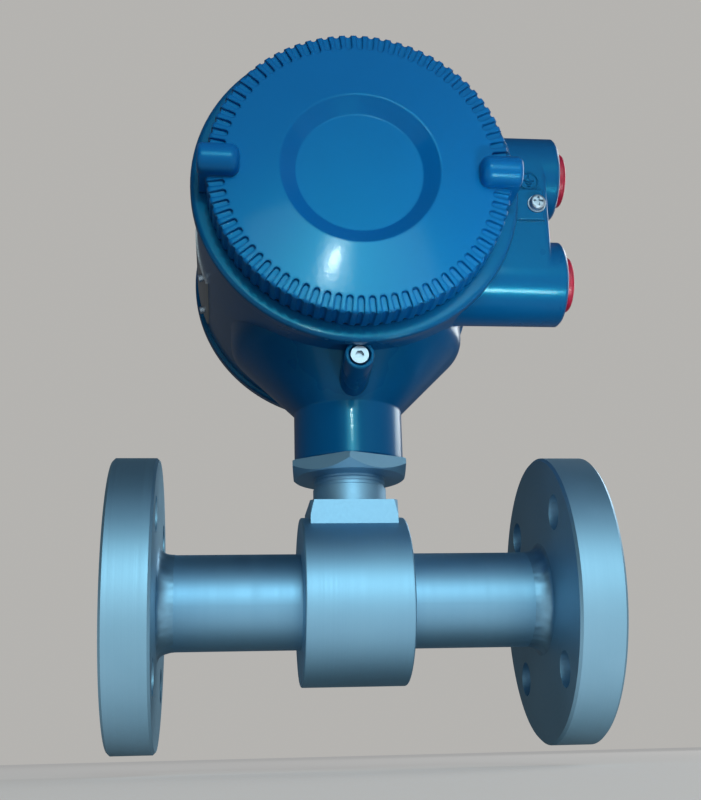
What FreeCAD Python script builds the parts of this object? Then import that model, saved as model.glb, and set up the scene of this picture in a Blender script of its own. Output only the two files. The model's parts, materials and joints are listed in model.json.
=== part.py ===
import FreeCAD, Part
import math
import os
import re

import Sketcher
from FreeCAD import Placement, Rotation, Vector

# Electromagnetic flow meter with a swivelling round transmitter head, in millimetres.
# X runs along the pipe, Z up the neck and Y along the head's own axis; the origin is the middle
# of the pipe's axis. The blind terminal cover faces -Y and the display cover faces +Y.

SIZES = (
    # measuring tube and flanges
    ("face_to_face", 194), ("bore_diameter", 25), ("liner_wall", 3), ("pipe_diameter", 38),
    ("flange_diameter", 115), ("flange_thickness", 18), ("flange_break", 1),
    ("bolt_circle", 85), ("bolt_hole", 14), ("bolt_count", 4),
    ("liner_lip", 2), ("liner_lip_diameter", 66), ("weld_length", 6), ("weld_rise", 3.5),
    # coil casing round the tube
    ("casing_diameter", 67), ("casing_width", 42), ("casing_wall", 2.5), ("cheek_thickness", 4),
    ("casing_break", 0.8), ("yoke_wall", 1.5), ("yoke_width", 30), ("yoke_gap", 0.5),
    ("pole_width", 11.6), ("coil_width", 22), ("coil_depth", 5.8), ("coil_lift", 1.6),
    ("winding_clearance", 0.2), ("electrode_diameter", 4), ("electrode_sleeve", 6.4),
    ("electrode_length", 14), ("electrode_nut", 8), ("electrode_nut_thickness", 3),
    ("sleeve_collar", 9), ("sleeve_collar_thickness", 2.4),
    # neck between casing and head
    ("square_width", 35), ("square_top", 38.2), ("square_turned", 47.4), ("square_round", 6),
    ("stub_diameter", 30), ("stub_shoulder", 45.5), ("relief_diameter", 28.4), ("relief_ring", 29.2),
    ("nut_bottom", 50), ("nut_thickness", 5.8), ("nut_across_flats", 46), ("nut_chamfer", 3.4),
    ("thread_play", 0.1), ("stub_top", 74), ("stub_bore", 16), ("potting_depth", 12),
    # head casting
    ("head_height", 157), ("barrel_diameter", 127), ("barrel_length", 110), ("bead_diameter", 131),
    ("bead_width", 6.5), ("bead_round", 1.8), ("chamber_diameter", 110), ("partition_place", 14),
    ("partition_thickness", 4), ("neck_diameter", 45), ("neck_bottom", 56), ("flare_start", 78),
    ("flare_diameter", 98), ("flare_round", 12), ("neck_passage", 18), ("neck_roof", 97),
    ("conduit_diameter", 35), ("conduit_setback", 30), ("conduit_reach", 86),
    ("conduit_rise", 16.7), ("conduit_drop", 31), ("conduit_tap", 20.2), ("conduit_break", 1),
    ("web_reach", 79.5), ("web_round", 2), ("lock_drop", 69), ("lock_boss_diameter", 11.5),
    ("lock_boss_face", 50), ("lock_rib_start", 49), ("lock_rib_slope", 7),
    ("pad_left", 65), ("pad_right", 77), ("pad_height", 13.6), ("pad_proud", 1.6),
    ("ground_across", 74), ("ground_below", 3.7),
    # covers
    ("thread_diameter", 112), ("thread_depth", 13), ("cover_diameter", 119), ("cover_play", 0.3),
    ("cover_edge", 68.4), ("cover_crown", 70.6), ("crown_diameter", 62.5), ("dish_level", 66),
    ("dish_diameter", 50), ("cover_ceiling", 61.5), ("sleeve_length", 12.5), ("sleeve_wall", 4),
    ("edge_round", 1.2), ("flute_count", 80), ("flute_width", 2.5), ("flute_length", 7),
    ("flute_floor", 67.5), ("flute_depth", 0.9), ("lug_diameter", 12.4), ("lug_inner", 46.5),
    ("lug_outer", 62.5), ("lug_lift", 2.4), ("lug_nose_round", 3.6), ("lug_end_round", 1.8),
    ("cover_turn", 1.2), ("seal_groove_diameter", 117.6), ("seal_groove_depth", 1.8),
    ("seal_fit", 0.1), ("window_diameter", 72), ("window_bevel", 5), ("window_lip", 65),
    ("glass_overlap", 6), ("glass_thickness", 6), ("gasket_thickness", 0.8),
    ("ring_thickness", 4), ("window_wall", 4), ("glass_fit", 0.2),
    # screws and plugs
    ("lock_head", 7), ("lock_head_height", 4), ("lock_shank", 4), ("lock_length", 18),
    ("lock_recess", 8.4), ("lock_recess_depth", 4.4), ("socket_across", 3), ("socket_depth", 2),
    ("ground_head", 6.5), ("ground_head_height", 2.6), ("ground_shank", 4), ("ground_length", 12),
    ("washer_diameter", 7.4), ("washer_thickness", 0.8), ("cross_width", 1.1), ("cross_depth", 1.2),
    ("plug_flange", 22.8), ("plug_flange_thickness", 4.2), ("plug_length", 12), ("plug_wall", 2),
    ("plug_round", 1.4), ("plug_play", 0.1),
    # side plate
    ("plate_length", 48), ("plate_offset", 16), ("plate_span", 48), ("plate_thickness", 0.8),
    ("rivet_diameter", 3.4), ("rivet_height", 0.9), ("rivet_inset", 5),
    # terminals, boards and display
    ("block_width", 72), ("block_height", 30), ("block_depth", 16), ("terminal_count", 6),
    ("terminal_pitch", 11), ("barrier_width", 2), ("terminal_floor", 9), ("terminal_head", 6.5),
    ("terminal_head_height", 2.5), ("terminal_row_gap", 15),
    ("board_diameter", 98), ("board_thickness", 1.6), ("post_circle", 84), ("post_diameter", 7),
    ("post_count", 4), ("rear_posts", 14), ("middle_posts", 14), ("front_posts", 12),
    ("bezel_thickness", 6), ("lcd_width", 58), ("lcd_height", 34), ("lcd_thickness", 4),
    ("lcd_view_width", 52), ("lcd_view_height", 26), ("lcd_rise", 8), ("key_diameter", 7),
    ("key_spacing", 16), ("key_drop", 24), ("screw_head", 5.6), ("screw_head_height", 1.8),
)

document = FreeCAD.newDocument("FlowMeter")
size = document.addObject("Spreadsheet::Sheet", "size")
for row, (alias, number) in enumerate(SIZES, start=1):
    size.set("A%d" % row, alias)
    size.set("B%d" % row, str(number))
    size.setAlias("B%d" % row, alias)
document.recompute()

ALIASES = {alias for alias, number in SIZES}
subparts = {}

# Levels that several pieces share, written with the sheet's names.
FACE = "face_to_face / 2"
FLANGE_OUTER = "(" + FACE + " - liner_lip)"
FLANGE_INNER = "(" + FACE + " - liner_lip - flange_thickness)"
TUBE_INNER = "(bore_diameter / 2 + liner_wall)"
SHELL_INNER = "(casing_diameter / 2 - casing_wall)"
YOKE_OUTER = "(casing_diameter / 2 - casing_wall - yoke_gap)"
YOKE_INNER = "(casing_diameter / 2 - casing_wall - yoke_gap - yoke_wall)"
HEAD_FACE = "(barrel_length / 2)"
COVER_SEAT = "(barrel_length / 2 + cover_play)"
SLEEVE_OUTER = "(thread_diameter / 2 - cover_play)"
SLEEVE_INNER = "(thread_diameter / 2 - cover_play - sleeve_wall)"
WEB_FACE = "(conduit_setback + conduit_diameter / 2)"
PAD_FACE = "(conduit_setback + conduit_diameter / 2 + pad_proud)"
REAR_WALL = "(partition_thickness - partition_place)"
GLASS_DIAMETER = "(window_diameter + 2 * glass_overlap)"
LUG_LEVEL = "(cover_edge + lug_lift)"


def formula(words):
    """Write each size name as a cell of the sheet."""
    return re.sub(r"[a-z_]+", lambda found: "size." + found.group()
                  if found.group() in ALIASES else found.group(), words)


def value(words):
    return float(size.evalExpression(words))


def bind(thing, **sizes):
    """Set properties of an object from formulas; double underscores stand for dots."""
    for name, words in sizes.items():
        thing.setExpression(name.replace("__", "."), formula(words))
    return thing


def place(thing, x="0", y="0", z="0", rotation=None):
    """Turn an object and bind its place to the sheet."""
    if rotation is not None:
        thing.Placement = Placement(Vector(), rotation)
    for letter, words in (("x", x), ("y", y), ("z", z)):
        if words != "0":
            thing.setExpression("Placement.Base." + letter, formula(words))
    return thing


def keep(label, thing):
    """Register an object as a sub-part under its own name."""
    thing.Label = label
    subparts[label] = thing
    return thing


ALONG_X = Rotation(Vector(0, 0, 1), Vector(1, 0, 0))
ALONG_Y = Rotation(Vector(0, 0, 1), Vector(0, 1, 0))
AGAINST_Y = Rotation(Vector(0, 0, 1), Vector(0, -1, 0))
HALF_TURN = Rotation(Vector(0, 0, 1), 180)


def cylinder(name, diameter, height, rotation=None, **where):
    thing = document.addObject("Part::Cylinder", name)
    bind(thing, Radius="(" + diameter + ") / 2", Height=height)
    return place(thing, rotation=rotation, **where)


def box(name, length, width, height, **where):
    thing = document.addObject("Part::Box", name)
    bind(thing, Length=length, Width=width, Height=height)
    return place(thing, **where)


def prism(name, across_flats, height, rotation=None, **where):
    """A hexagonal prism, given across its flats."""
    thing = document.addObject("Part::Prism", name)
    thing.Polygon = 6
    bind(thing, Circumradius="(" + across_flats + ") / 2 / cos(30 deg)", Height=height)
    return place(thing, rotation=rotation, **where)


def cut(name, base, tool):
    thing = document.addObject("Part::Cut", name)
    thing.Base, thing.Tool = base, tool
    return thing


def fuse(name, *shapes):
    thing = document.addObject("Part::MultiFuse", name)
    thing.Shapes = list(shapes)
    return thing


def common(name, *shapes):
    thing = document.addObject("Part::MultiCommon", name)
    thing.Shapes = list(shapes)
    return thing


def group(name, *shapes):
    """Separate like solids that share one node."""
    thing = document.addObject("Part::Compound", name)
    thing.Links = list(shapes)
    return thing


def datum(body, role):
    return next(item for item in body.Origin.OriginFeatures if item.Role == role)


def new_sketch(body, name, role, offset=None):
    sketch = body.newObject("Sketcher::SketchObject", name)
    sketch.AttachmentSupport = (datum(body, role), [""])
    sketch.MapMode = "FlatFace"
    if offset:
        sketch.setExpression("AttachmentOffset.Base.z", formula(offset))
    return sketch


def round_corner(before, corner, after, radius):
    """Where an arc of this radius touches the two sides of a corner, and its middle."""
    first, second = before - corner, after - corner
    first.normalize()
    second.normalize()
    half = first.getAngle(second) / 2
    reach = radius / math.tan(half)
    middle = first + second
    middle.normalize()
    centre = corner + middle * (radius / math.sin(half))
    return corner + first * reach, corner + second * reach, centre


def outline(sketch, corners):
    """Draw a closed outline with every corner bound to the sheet.

    A corner is (across, up) or (across, up, radius); a radius rounds that corner."""
    count = len(corners)
    points = [Vector(value(corner[0]), value(corner[1]), 0) for corner in corners]
    starts, ends, arcs = list(points), list(points), {}
    for at, corner in enumerate(corners):
        if len(corner) == 3:
            radius = value(corner[2])
            entry, leave, centre = round_corner(
                points[at - 1], points[at], points[(at + 1) % count], radius)
            ends[at], starts[at] = entry, leave
            arcs[at] = (entry, leave, centre, radius)
    for at in range(count):
        sketch.addGeometry(Part.LineSegment(starts[at], ends[(at + 1) % count]), False)
    for at, corner in enumerate(corners):
        if at in arcs:
            round_geometry(sketch, corner, points[at], arcs[at], (at - 1) % count, at)
        else:
            sketch.addConstraint(Sketcher.Constraint("Coincident", (at - 1) % count, 2, at, 1))
            pin_point(sketch, corner, points[at], at, 1)


def short_arc(sketch, start, finish, centre, radius):
    """Add the shorter arc between two points; returns its number and the end at the start."""
    angles = [math.atan2(point.y - centre.y, point.x - centre.x) for point in (start, finish)]
    forward = (angles[1] - angles[0]) % (2 * math.pi) < math.pi
    first, last = angles if forward else angles[::-1]
    last += 2 * math.pi if last < first else 0
    circle = Part.Circle(centre, Vector(0, 0, 1), radius)
    return sketch.addGeometry(Part.ArcOfCircle(circle, first, last), False), 1 if forward else 2


def round_geometry(sketch, corner, point, arc, line_in, line_out):
    entry, leave, centre, radius = arc
    arc_at, first = short_arc(sketch, entry, leave, centre, radius)
    point_at = sketch.addGeometry(Part.Point(point), True)
    for line, end, arc_end in ((line_in, 2, first), (line_out, 1, 3 - first)):
        sketch.addConstraint(Sketcher.Constraint("Tangent", line, end, arc_at, arc_end))
        sketch.addConstraint(Sketcher.Constraint("PointOnObject", point_at, 1, line))
    at = sketch.addConstraint(Sketcher.Constraint("Radius", arc_at, radius))
    sketch.setExpression("Constraints[%d]" % at, formula(corner[2]))
    pin_point(sketch, corner, point, point_at, 1)


def pin_point(sketch, corner, point, geometry, end):
    for kind, words, number, axis in (("DistanceX", corner[0], point.x, -2),
                                      ("DistanceY", corner[1], point.y, -1)):
        if words == "0":
            sketch.addConstraint(Sketcher.Constraint("PointOnObject", geometry, end, axis))
        else:
            at = sketch.addConstraint(Sketcher.Constraint(kind, -1, 1, geometry, end, number))
            sketch.setExpression("Constraints[%d]" % at, formula(words))


def turned(label, corners, role="XZ_Plane", axis="H_Axis", **where):
    """A body of revolution from an outline given as (along, radius) or (radius, along)."""
    body = place(document.addObject("PartDesign::Body", label), **where)
    sketch = new_sketch(body, label + "_profile", role)
    outline(sketch, corners)
    turning = body.newObject("PartDesign::Revolution", label + "_turning")
    turning.Profile = sketch
    turning.ReferenceAxis = (sketch, [axis])
    turning.Angle = 360
    return body


def polar(body, label, originals, role, occurrences):
    pattern = body.newObject("PartDesign::PolarPattern", label)
    pattern.Originals = originals
    pattern.Axis = (datum(body, role), [""])
    pattern.Angle = 360
    pattern.setExpression("Occurrences", formula(occurrences))
    body.Tip = pattern
    return pattern


def pocket(body, label, sketch, depth):
    """Cut a sketch along its own normal, to the side that holds material."""
    cutting = body.newObject("PartDesign::Pocket", label)
    cutting.Profile = sketch
    cutting.setExpression("Length", formula(depth))
    before = cutting.BaseFeature.Shape.Volume if cutting.BaseFeature else 0
    document.recompute()
    if before and abs(cutting.Shape.Volume - before) < 1e-3:
        cutting.Reversed = True
        document.recompute()
    return cutting


def flange(label, rotation):
    """Slip-on flat-face flange: a turned disc with bolt holes off the centre lines."""
    body = turned(label, (
        (FLANGE_INNER, "pipe_diameter / 2"),
        (FLANGE_INNER, "flange_diameter / 2 - flange_break"),
        (FLANGE_INNER + " + flange_break", "flange_diameter / 2"),
        (FLANGE_OUTER + " - flange_break", "flange_diameter / 2"),
        (FLANGE_OUTER, "flange_diameter / 2 - flange_break"),
        (FLANGE_OUTER, "pipe_diameter / 2")), rotation=rotation)
    sketch = new_sketch(body, label + "_bolt_place", "YZ_Plane", FLANGE_OUTER)
    across, radius = "bolt_circle / 2 * cos(45 deg)", "bolt_hole / 2"
    middle = Vector(value(across), value(across), 0)
    circle = Part.Circle(middle, Vector(0, 0, 1), value(radius))
    hole = sketch.addGeometry(circle, False)
    for kind in ("DistanceX", "DistanceY"):
        at = sketch.addConstraint(Sketcher.Constraint(kind, -1, 1, hole, 3, middle.x))
        sketch.setExpression("Constraints[%d]" % at, formula(across))
    at = sketch.addConstraint(Sketcher.Constraint("Radius", hole, circle.Radius))
    sketch.setExpression("Constraints[%d]" % at, formula(radius))
    document.recompute()
    drilled = pocket(body, label + "_bolt_hole", sketch, "flange_thickness")
    polar(body, label + "_bolt_holes", [drilled], "X_Axis", "bolt_count")
    keep(label, body)


def flange_weld(label, rotation):
    """Concave fillet weld between the flange's inner face and the pipe."""
    body = turned(label, (
        (FLANGE_INNER, "pipe_diameter / 2"),
        (FLANGE_INNER + " - weld_length", "pipe_diameter / 2"),
        (FLANGE_INNER + " - weld_length / 3", "pipe_diameter / 2 + weld_rise / 3"),
        (FLANGE_INNER, "pipe_diameter / 2 + weld_rise")), rotation=rotation)
    keep(label, body)


def measuring_tube():
    """Pipe through both flanges, drilled across for the electrodes."""
    wall = turned("tube_wall", (
        ("-" + FLANGE_OUTER, TUBE_INNER), (FLANGE_OUTER, TUBE_INNER),
        (FLANGE_OUTER, "pipe_diameter / 2"), ("-" + FLANGE_OUTER, "pipe_diameter / 2")))
    drill = cylinder("tube_drill", "electrode_sleeve", "casing_diameter", ALONG_Y,
                     y="-casing_diameter / 2")
    keep("measuring_tube", cut("tube_cut", wall, drill))


def liner():
    """Bore lining flared over the faces of both flanges."""
    wall = turned("liner_wall_body", (
        ("-" + FACE, "bore_diameter / 2"), (FACE, "bore_diameter / 2"),
        (FACE, "liner_lip_diameter / 2"), (FLANGE_OUTER, "liner_lip_diameter / 2"),
        (FLANGE_OUTER, TUBE_INNER), ("-" + FLANGE_OUTER, TUBE_INNER),
        ("-" + FLANGE_OUTER, "liner_lip_diameter / 2"), ("-" + FACE, "liner_lip_diameter / 2")))
    drill = cylinder("liner_drill", "electrode_diameter", "casing_diameter", ALONG_Y,
                     y="-casing_diameter / 2")
    keep("liner", cut("liner_cut", wall, drill))


def casing():
    """Round coil casing: a shell with two cheek plates let into its ends."""
    shell = turned("shell_wall", (
        ("-casing_width / 2", SHELL_INNER), ("casing_width / 2", SHELL_INNER),
        ("casing_width / 2", "casing_diameter / 2", "casing_break"),
        ("-casing_width / 2", "casing_diameter / 2", "casing_break")))
    wire_way = cylinder("shell_wire_way", "stub_bore", "casing_diameter / 2")
    keep("casing_shell", cut("shell_cut", shell, wire_way))
    for label, rotation in (("inlet_cheek", HALF_TURN), ("outlet_cheek", Rotation())):
        keep(label, turned(label, (
            ("casing_width / 2 - cheek_thickness", "pipe_diameter / 2"),
            ("casing_width / 2", "pipe_diameter / 2"), ("casing_width / 2", SHELL_INNER),
            ("casing_width / 2 - cheek_thickness", SHELL_INNER)), rotation=rotation))


def magnet(label, rotation):
    """A pole piece between pipe and yoke, with its square coil round it."""
    block = box(label + "_pole_block", "pole_width", "pole_width", YOKE_INNER,
                x="-pole_width / 2", y="-pole_width / 2")
    gap = turned(label + "_pole_gap", (
        ("-pole_width", "pipe_diameter / 2"), ("pole_width", "pipe_diameter / 2"),
        ("pole_width", YOKE_INNER), ("-pole_width", YOKE_INNER)))
    keep(label + "_pole", place(common(label + "_pole_common", block, gap), rotation=rotation))
    outer = box(label + "_coil_outer", "coil_width", "coil_width", "coil_depth",
                x="-coil_width / 2", y="-coil_width / 2", z="pipe_diameter / 2 + coil_lift")
    inner = box(label + "_coil_inner", "pole_width + 2 * winding_clearance",
                "pole_width + 2 * winding_clearance", "coil_depth",
                x="-pole_width / 2 - winding_clearance", y="-pole_width / 2 - winding_clearance",
                z="pipe_diameter / 2 + coil_lift")
    keep(label + "_coil", place(cut(label + "_coil_cut", outer, inner), rotation=rotation))


def yoke():
    keep("yoke", turned("yoke_band", (
        ("-yoke_width / 2", YOKE_INNER), ("yoke_width / 2", YOKE_INNER),
        ("yoke_width / 2", YOKE_OUTER), ("-yoke_width / 2", YOKE_OUTER))))


def electrodes():
    """Two pins across the bore, each in an insulating sleeve and held by a nut."""
    sleeves, nuts = [], []
    for label, rotation in (("front", AGAINST_Y), ("rear", ALONG_Y)):
        pin = cylinder(label + "_pin", "electrode_diameter", "electrode_length", rotation)
        side = "-" if label == "front" else ""
        place(pin, y=side + "(bore_diameter / 2)")
        keep(label + "_electrode", pin)
        sleeve = turned(label + "_sleeve", (
            (TUBE_INNER, "electrode_diameter / 2"),
            ("pipe_diameter / 2 + sleeve_collar_thickness", "electrode_diameter / 2"),
            ("pipe_diameter / 2 + sleeve_collar_thickness", "sleeve_collar / 2"),
            ("pipe_diameter / 2", "sleeve_collar / 2"),
            ("pipe_diameter / 2", "electrode_sleeve / 2"), (TUBE_INNER, "electrode_sleeve / 2")),
            role="YZ_Plane", rotation=HALF_TURN if label == "front" else Rotation())
        sleeves.append(sleeve)
        hexagon = prism(label + "_nut_block", "electrode_nut", "electrode_nut_thickness", rotation)
        place(hexagon, y=side + "(pipe_diameter / 2 + sleeve_collar_thickness)")
        nuts.append(cut(label + "_nut_cut", hexagon, pin))
    keep("electrode_sleeves", group("sleeve_pair", *sleeves))
    keep("electrode_nuts", group("nut_pair", *nuts))


def neck_stub():
    """Square root saddled on the casing, turned shoulder, relief and threaded spigot."""
    square = box("square_block", "square_width", "square_width", "square_top",
                 x="-square_width / 2", y="-square_width / 2")
    turning = turned("square_turning", (
        ("0", "0"), ("square_turned / 2 + 1", "0"), ("square_turned / 2 + 1", "square_top - square_round"),
        ("square_turned / 2", "square_top"), ("0", "square_top")), axis="V_Axis")
    root = common("square_root", square, turning)
    spigot = turned("spigot", (
        ("0", "0"), ("stub_diameter / 2", "0"), ("stub_diameter / 2", "stub_shoulder"),
        ("relief_diameter / 2", "stub_shoulder + 0.4"), ("relief_diameter / 2", "nut_bottom - 3"),
        ("relief_ring / 2", "nut_bottom - 2.5"), ("relief_ring / 2", "nut_bottom - 1.5"),
        ("relief_diameter / 2", "nut_bottom - 1"), ("relief_diameter / 2", "nut_bottom - 0.3"),
        ("stub_diameter / 2", "nut_bottom"), ("stub_diameter / 2", "stub_top - 1"),
        ("stub_diameter / 2 - 1", "stub_top"), ("0", "stub_top")), axis="V_Axis")
    seat = cylinder("stub_seat", "casing_diameter", "square_width * 2", ALONG_X, x="-square_width")
    bore = cylinder("stub_bore_drill", "stub_bore", "stub_top + 1")
    solid = fuse("stub_solid", root, spigot)
    keep("neck_stub", cut("stub_cut", solid, fuse("stub_voids", seat, bore)))
    keep("potting_plug", cylinder("potting", "stub_bore", "potting_depth",
                                  z="stub_top - 2 - potting_depth"))


def lock_nut():
    """Thin hexagon nut under the head, its lower corners turned off at a steep angle."""
    hexagon = prism("nut_hexagon", "nut_across_flats", "nut_thickness",
                    Rotation(Vector(0, 0, 1), 25), z="nut_bottom")
    corner = "nut_across_flats / 2 / cos(30 deg)"
    turning = turned("nut_turning", (
        ("stub_diameter / 2 + thread_play", "nut_bottom"),
        (corner + " - nut_chamfer - 0.6", "nut_bottom"), (corner, "nut_bottom + nut_chamfer"),
        (corner, "nut_bottom + nut_thickness - 0.4"),
        (corner + " - 0.6", "nut_bottom + nut_thickness"),
        ("stub_diameter / 2 + thread_play", "nut_bottom + nut_thickness")), axis="V_Axis")
    keep("lock_nut", common("nut_common", hexagon, turning))


def barrel():
    """Outer drum of the head with a rounded bead at each end."""
    bead_inner = "(barrel_length / 2 - bead_width)"
    front = [("-" + HEAD_FACE, "0"), ("-" + HEAD_FACE, "bead_diameter / 2", "bead_round"),
             ("-" + bead_inner, "bead_diameter / 2", "bead_round"),
             ("-" + bead_inner, "barrel_diameter / 2")]
    rear = [(corner[0][1:],) + corner[1:] for corner in reversed(front)]
    return turned("barrel", front + rear, role="YZ_Plane", z="head_height")


def flare():
    """Neck and the funnel that opens from it into the drum."""
    top = "flare_start + (flare_diameter - neck_diameter) / 2"
    return turned("flare", (
        ("0", "neck_bottom"), ("neck_diameter / 2", "neck_bottom", "0.8"),
        ("neck_diameter / 2", "flare_start"), ("flare_diameter / 2", top, "flare_round"),
        ("flare_diameter / 2", "head_height"), ("0", "head_height")), axis="V_Axis")


def conduit_boss(name, height):
    """Round boss along X with a turned edge."""
    return turned(name, (
        ("0", "0"), ("conduit_reach", "0"), ("conduit_reach", "conduit_diameter / 2 - conduit_break"),
        ("conduit_reach - conduit_break", "conduit_diameter / 2"), ("0", "conduit_diameter / 2")),
        y="-conduit_setback", z=height)


def boss_web(low, high):
    """Block that joins the two conduit bosses, its front and rear edges rounded."""
    height = "(%s) - (%s)" % (high, low)
    wide = box("web_wide", "web_reach - web_round", "conduit_diameter", height,
               y="-" + WEB_FACE, z=low)
    long = box("web_long", "web_reach", "conduit_diameter - 2 * web_round", height,
               y="-" + WEB_FACE + " + web_round", z=low)
    edges = [cylinder("web_edge_" + side, "2 * web_round", height, x="web_reach - web_round",
                      y=level, z=low)
             for side, level in (("front", "-" + WEB_FACE + " + web_round"),
                                 ("rear", "-" + WEB_FACE + " + conduit_diameter - web_round"))]
    return fuse("boss_web", wide, long, *edges)


def lock_bosses():
    """Bosses for the cover lock screws, each on a rib that slopes down into the neck."""
    level = {"z": "head_height - lock_drop"}
    slope = math.radians(value("lock_rib_slope"))
    across = cylinder("lock_boss", "lock_boss_diameter", "2 * lock_boss_face", ALONG_Y,
                      y="-lock_boss_face", **level)
    ribs = [cylinder(side + "_lock_rib", "lock_boss_diameter", "lock_rib_start",
                     Rotation(Vector(0, 0, 1), Vector(0, inward * math.cos(slope),
                                                      -math.sin(slope))),
                     y="%d * lock_rib_start" % -inward, **level)
            for side, inward in (("front", 1), ("rear", -1))]
    return fuse("lock_bosses", across, *ribs)


def chamber(name, deep_end):
    """One compartment, open through its threaded mouth, with the seal's seat at the rim."""
    return turned(name, (
        (deep_end, "0"), (deep_end, "chamber_diameter / 2", "3"),
        (HEAD_FACE + " - thread_depth", "chamber_diameter / 2"),
        (HEAD_FACE + " - thread_depth", "thread_diameter / 2"),
        (HEAD_FACE + " - seal_groove_depth", "thread_diameter / 2"),
        (HEAD_FACE + " - seal_groove_depth", "seal_groove_diameter / 2"),
        (HEAD_FACE + " + 1", "seal_groove_diameter / 2"), (HEAD_FACE + " + 1", "0")),
        role="YZ_Plane", z="head_height")


def housing():
    """Head casting: drum, funnel neck, two conduit bosses with a web, lock-screw bosses, pad."""
    upper, lower = "head_height + conduit_rise", "head_height - conduit_drop"
    bosses = [conduit_boss("upper_boss", upper), conduit_boss("lower_boss", lower)]
    pad = box("ground_pad", "pad_right - pad_left", "pad_proud + 4", "pad_height",
              x="pad_left", y="-" + PAD_FACE, z="head_height - ground_below - pad_height / 2")
    outside = fuse("casting_outside", barrel(), flare(), boss_web(lower, upper), pad,
                   lock_bosses(), *bosses)

    front = place(chamber("front_chamber", "partition_place"), z="head_height", rotation=HALF_TURN)
    rear = chamber("rear_chamber", REAR_WALL)
    voids = [front, rear]
    for label, height in (("upper", upper), ("lower", lower)):
        voids.append(cylinder(label + "_tap", "conduit_tap", "conduit_reach", ALONG_X,
                              x="chamber_diameter * 0.36", y="-conduit_setback", z=height))
    voids.append(cylinder("neck_bore", "stub_diameter + 2 * thread_play", "neck_roof - neck_bottom",
                          z="neck_bottom"))
    voids.append(cylinder("neck_way", "neck_passage", "head_height - neck_roof", z="neck_roof"))
    for label, rotation, side in (("front", ALONG_Y, "-"), ("rear", AGAINST_Y, "")):
        voids.append(cylinder(label + "_lock_recess", "lock_recess", "lock_recess_depth", rotation,
                              y=side + "lock_boss_face", z="head_height - lock_drop"))
        voids.append(cylinder(label + "_lock_tap", "lock_shank",
                              "lock_length + lock_recess_depth", rotation,
                              y=side + "lock_boss_face", z="head_height - lock_drop"))
    voids.append(cylinder("ground_tap", "ground_shank", "ground_length", ALONG_Y,
                          x="ground_across", y="-" + PAD_FACE, z="head_height - ground_below"))
    keep("housing", cut("casting", outside, fuse("casting_voids", *voids)))


def fluted_rim(body, label):
    """Slots with round inner ends on the face, running on down the side of the cover."""
    face = new_sketch(body, label + "_slot_place", "XZ_Plane", "-(cover_crown + 1)")
    slot(face, "cover_diameter / 2 - flute_length", "cover_diameter / 2 + 2")
    document.recompute()
    top = pocket(body, label + "_slot", face, "cover_crown + 1 - flute_floor")
    side = new_sketch(body, label + "_flute_place", "XZ_Plane", "-(cover_crown + 1)")
    slot(side, "cover_diameter / 2 - flute_depth", "cover_diameter / 2 + 2")
    document.recompute()
    down = pocket(body, label + "_flute", side, "cover_crown + 1 - " + COVER_SEAT)
    polar(body, label + "_flutes", [top, down], "Y_Axis", "flute_count")


def slot(sketch, inner, outer):
    """A radial slot: two straight sides, a half-round inner end and a square outer end."""
    half, near, far = value("flute_width / 2"), value(inner), value(outer)
    left, right = Vector(-half, near + half, 0), Vector(half, near + half, 0)
    top_left, top_right = Vector(-half, far, 0), Vector(half, far, 0)
    for start, finish in ((left, top_left), (top_left, top_right), (top_right, right)):
        sketch.addGeometry(Part.LineSegment(start, finish), False)
    circle = Part.Circle(Vector(0, near + half, 0), Vector(0, 0, 1), half)
    arc = sketch.addGeometry(Part.ArcOfCircle(circle, math.pi, 2 * math.pi), False)
    sketch.addConstraint(Sketcher.Constraint("Coincident", 0, 2, 1, 1))
    sketch.addConstraint(Sketcher.Constraint("Coincident", 1, 2, 2, 1))
    sketch.addConstraint(Sketcher.Constraint("Tangent", 0, 1, arc, 1))
    sketch.addConstraint(Sketcher.Constraint("Tangent", 2, 2, arc, 2))
    sketch.addConstraint(Sketcher.Constraint("PointOnObject", arc, 3, -2))
    sketch.addConstraint(Sketcher.Constraint("Vertical", 0))
    sketch.addConstraint(Sketcher.Constraint("Horizontal", 1))
    for kind, line, end, words in (("DistanceX", 2, 2, "flute_width / 2"),
                                   ("DistanceY", 1, 2, outer),
                                   ("DistanceY", 2, 2, inner + " + flute_width / 2")):
        at = sketch.addConstraint(Sketcher.Constraint(kind, -1, 1, line, end, value(words)))
        sketch.setExpression("Constraints[%d]" % at, formula(words))


def lugs(label):
    """Two wrench lugs across the cover: round bars with a block down the cover's side."""
    bars = []
    for side in ("left", "right"):
        name = label + "_" + side
        bar = turned(name + "_bar", (
            ("lug_inner", "0"), ("lug_inner", "lug_diameter / 2", "lug_nose_round"),
            ("lug_outer", "lug_diameter / 2", "lug_end_round"), ("lug_outer", "0")), y=LUG_LEVEL)
        above = box(name + "_above", "lug_outer", LUG_LEVEL, "lug_diameter * 2",
                    y="cover_ceiling + 1", z="-lug_diameter")
        start = "(cover_diameter / 2 - flute_depth - 1)"
        block = box(name + "_block", "lug_outer - lug_end_round / 3 - " + start,
                    LUG_LEVEL + " - " + COVER_SEAT, "lug_diameter",
                    x=start, y=COVER_SEAT, z="-lug_diameter / 2")
        lug = fuse(name + "_lug", common(name + "_trim", bar, above), block)
        bars.append(lug if side == "right" else mirror(name, lug))
    return bars


def mirror(name, source):
    thing = document.addObject("Part::Mirroring", name + "_mirror")
    thing.Source = source
    thing.Normal = Vector(1, 0, 0)
    return thing


def sleeve_and_edge():
    """The part of a cover's section that both covers share, from the sleeve to the crown."""
    return ((COVER_SEAT + " - sleeve_length", SLEEVE_INNER),
            (COVER_SEAT + " - sleeve_length", SLEEVE_OUTER), (COVER_SEAT, SLEEVE_OUTER),
            (COVER_SEAT, "cover_diameter / 2"), ("cover_edge", "cover_diameter / 2", "edge_round"))


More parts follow.
